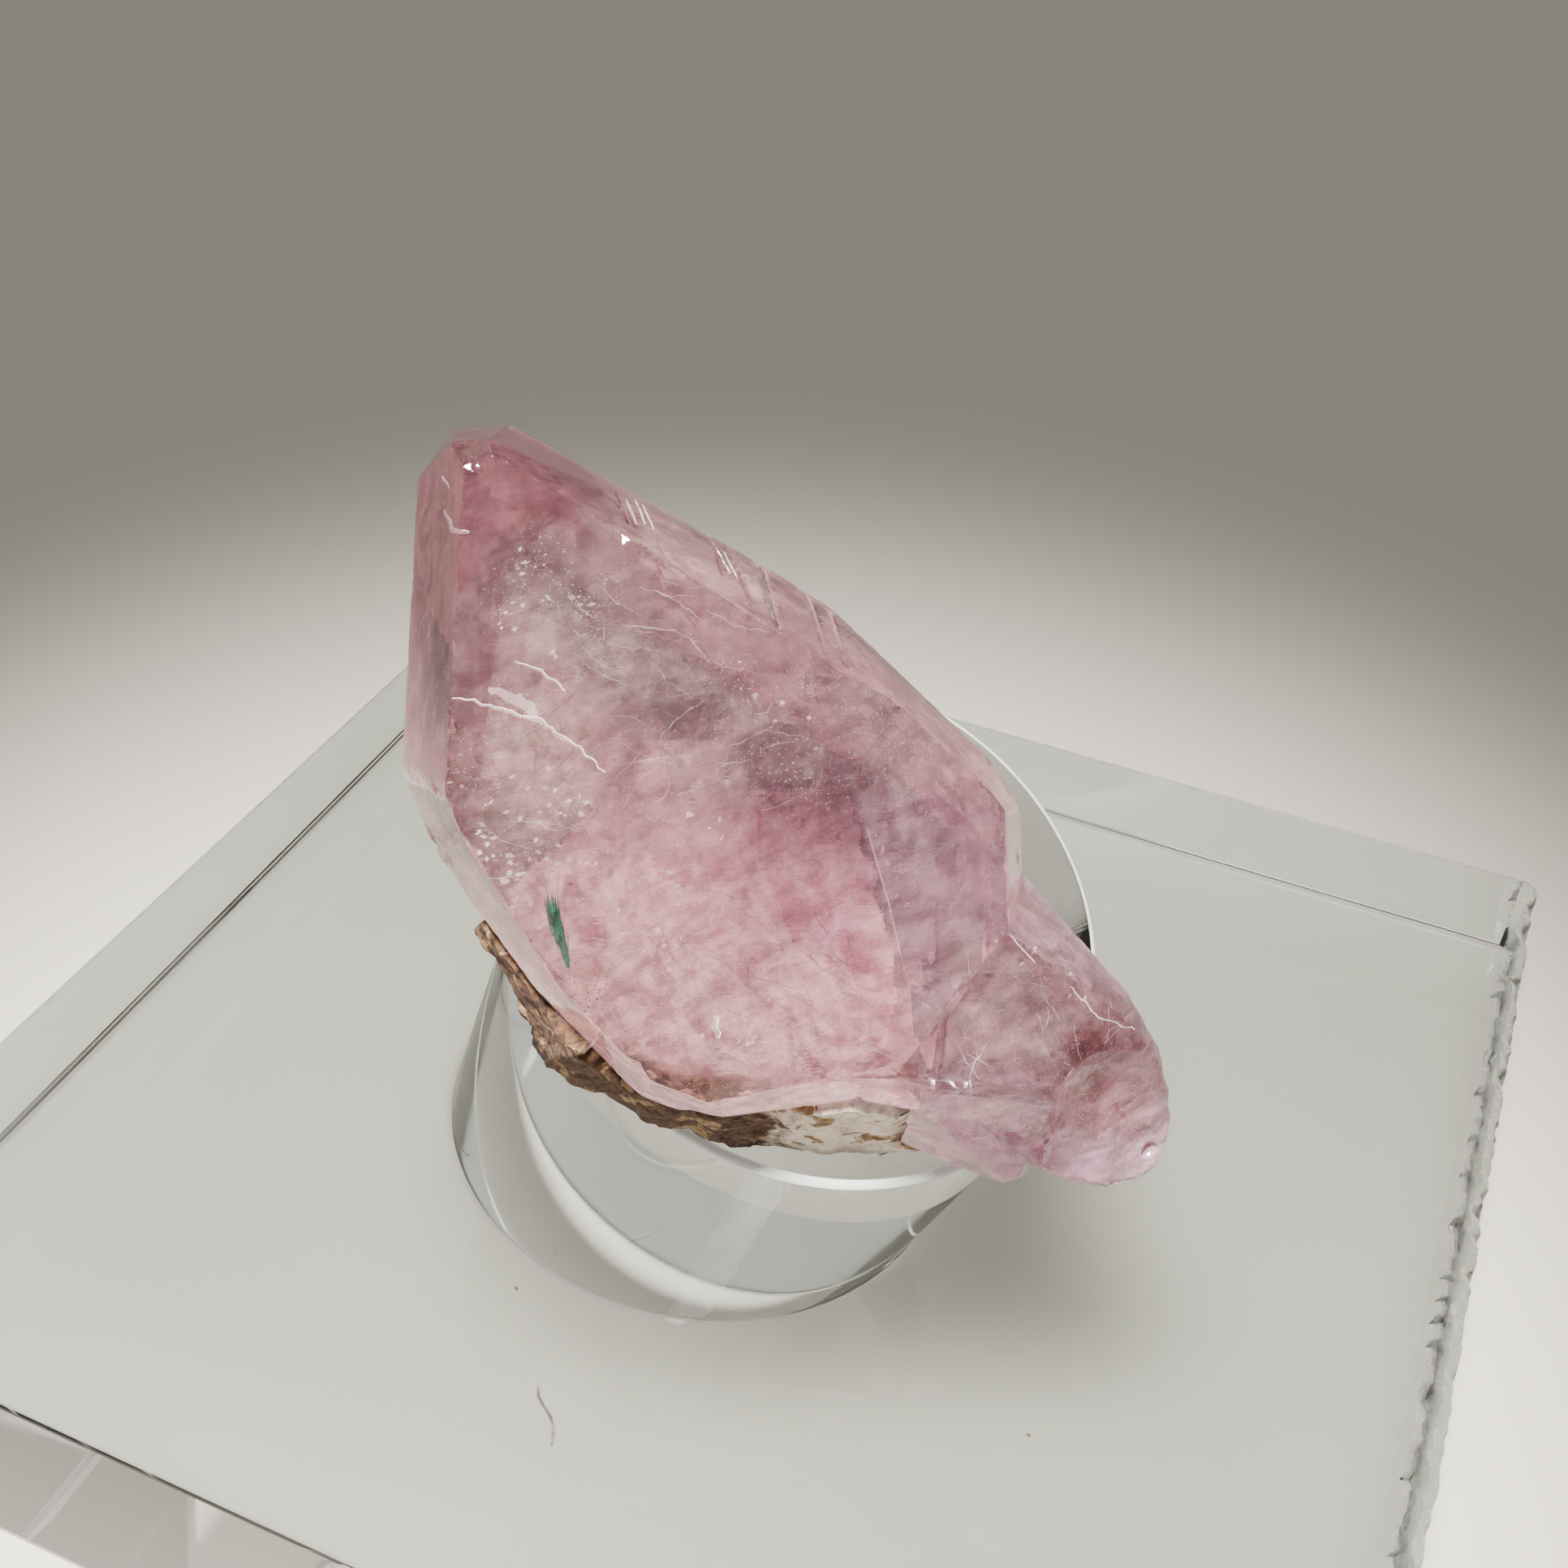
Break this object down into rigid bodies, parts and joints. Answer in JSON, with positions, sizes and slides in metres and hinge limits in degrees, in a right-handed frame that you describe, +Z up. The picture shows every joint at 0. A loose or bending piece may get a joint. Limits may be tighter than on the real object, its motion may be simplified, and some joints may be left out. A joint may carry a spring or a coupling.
{
  "type": "mounted calcite crystal",
  "caption": "Pale pink pointed calcite crystal with a broken side crystal and brown matrix, shown on the sloping top of a short clear post on a square clear plate.",
  "frame": {"origin": "middle of the plate's underside", "axes": "+Z up, +X along the plate's back edge, -Y towards the side from which the crystal's broad front face is seen"},
  "size_m": [0.038, 0.0354, 0.0285],
  "materials": {
    "clear_acrylic": "clear and polished, with one saw-cut side",
    "calcite": "translucent, with glossy crystal faces",
    "matrix": "rough and matte"
  },
  "bodies": {
    "root": {"acrylic_plate": "clear_acrylic", "acrylic_post": "clear_acrylic", "calcite_crystal": "calcite", "matrix": "matrix"}
  },
  "joints": []
}
